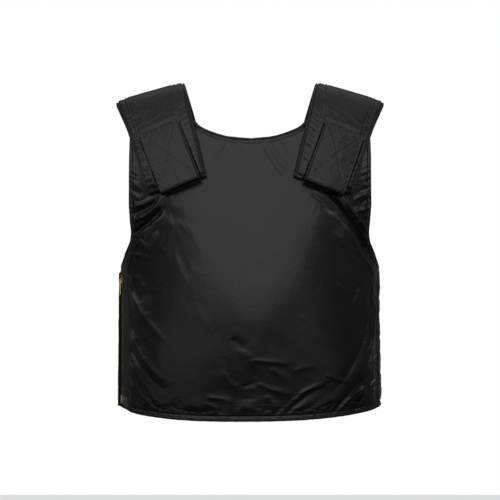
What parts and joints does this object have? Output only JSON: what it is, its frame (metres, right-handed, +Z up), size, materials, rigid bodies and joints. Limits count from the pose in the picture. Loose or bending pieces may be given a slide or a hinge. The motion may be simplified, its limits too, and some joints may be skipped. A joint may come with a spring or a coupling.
{
  "type": "stab vest",
  "caption": "Padded stab vest with wide shoulder straps, stitched tabs and a brass side zip, for the upper body.",
  "frame": {"origin": "midway between the undersides of the two shoulder straps, where they sit on the shoulders", "axes": "+Z up, -Y is the front of the vest, +X is the wearer's left"},
  "size_m": [0.3914, 0.242, 0.4846],
  "materials": {
    "cover": "black satin nylon, lightly glossy",
    "strap": "black nylon, lightly padded and quilted at the seams",
    "binding": "black nylon binding",
    "zip_tape": "black woven tape",
    "brass": "polished brass"
  },
  "bodies": {
    "vest": {"front_panel": "cover", "back_panel": "cover", "shoulder_strap_r": "strap", "shoulder_strap_l": "strap", "strap_tab_r": "strap", "strap_tab_l": "strap", "neck_binding_front": "binding", "neck_binding_back": "binding", "hem_binding_front": "binding", "hem_binding_back": "binding", "side_seam": "cover", "zip_tape_front": "zip_tape", "zip_tape_back": "zip_tape", "zip_chain": "brass", "zip_slider": "brass", "zip_box": "brass"},
    "pull": {"zip_pull": "brass"}
  },
  "joints": [
    {"name": "pull_swing", "type": "hinge", "parent": "vest", "child": "pull", "pos_m": [-0.18866, -0.03184, -0.26678], "axis": [-0.2136, 0.9758, -0.0474], "range_deg": [0, 165]}
  ]
}
